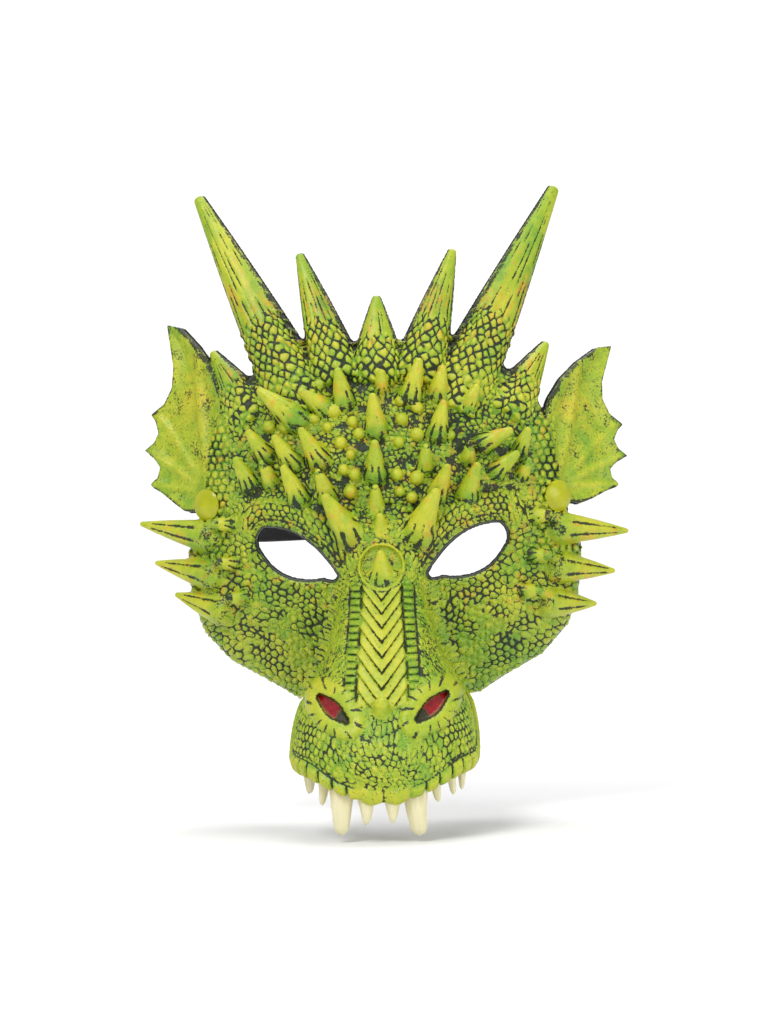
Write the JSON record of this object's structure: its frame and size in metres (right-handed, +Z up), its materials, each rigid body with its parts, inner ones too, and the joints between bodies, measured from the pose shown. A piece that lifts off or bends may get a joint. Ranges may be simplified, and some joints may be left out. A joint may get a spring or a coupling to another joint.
{
  "type": "dragon half mask",
  "caption": "Moulded foam dragon half mask with horns, ear fins, cheek spikes, teeth, cloth lining and an elastic head strap riveted at the temples.",
  "frame": {"origin": "at eye level on the mask's centre plane, where the lining rests on the wearer's brow", "axes": "+Z up, the face looks along -Y, +X towards a viewer's right"},
  "size_m": [0.2028, 0.1953, 0.2618],
  "materials": {
    "foam": "lime green painted polyurethane foam, black wash in the grooves, satin",
    "tooth": "cream, glossy",
    "lining": "black brushed knit",
    "elastic": "black braided elastic",
    "rivet_cap": "olive lime, glossy",
    "rivet_tail": "nickel plated"
  },
  "bodies": {
    "mask": {"face_plate": "foam", "fabric_lining": "lining", "muzzle_shell": "foam", "crown_horn_centre": "foam", "crown_horn_mid_right": "foam", "crown_horn_mid_left": "foam", "crown_horn_large_right": "foam", "crown_horn_large_left": "foam", "crown_horn_small_right": "foam", "crown_horn_small_left": "foam", "ear_fin_right": "foam", "ear_fin_left": "foam", "cheek_spikes_right": "foam", "cheek_spikes_left": "foam", "strap_end_right": "elastic", "strap_end_left": "elastic", "rivet_cap_right": "rivet_cap", "rivet_cap_left": "rivet_cap", "rivet_tail_right": "rivet_tail", "rivet_tail_left": "rivet_tail", "tooth_front_left": "tooth", "tooth_front_right": "tooth", "tooth_fang_left": "tooth", "tooth_fang_right": "tooth", "tooth_side_left_1": "tooth", "tooth_side_right_1": "tooth", "tooth_side_left_2": "tooth", "tooth_side_right_2": "tooth", "tooth_side_left_3": "tooth", "tooth_side_right_3": "tooth", "tooth_back_left": "tooth", "tooth_back_right": "tooth"},
    "strap": {"strap_band": "elastic", "strap_flex_right": "elastic", "strap_flex_left": "elastic"}
  },
  "joints": [
    {"name": "strap_swing", "type": "hinge", "parent": "mask", "child": "strap", "pos_m": [0, 0.0465, 0.0202], "axis": [1, 0, 0], "range_deg": [-60, 60], "stiffness_Nm_per_rad": 0.1, "deforming": ["strap_flex_right", "strap_flex_left"]}
  ]
}
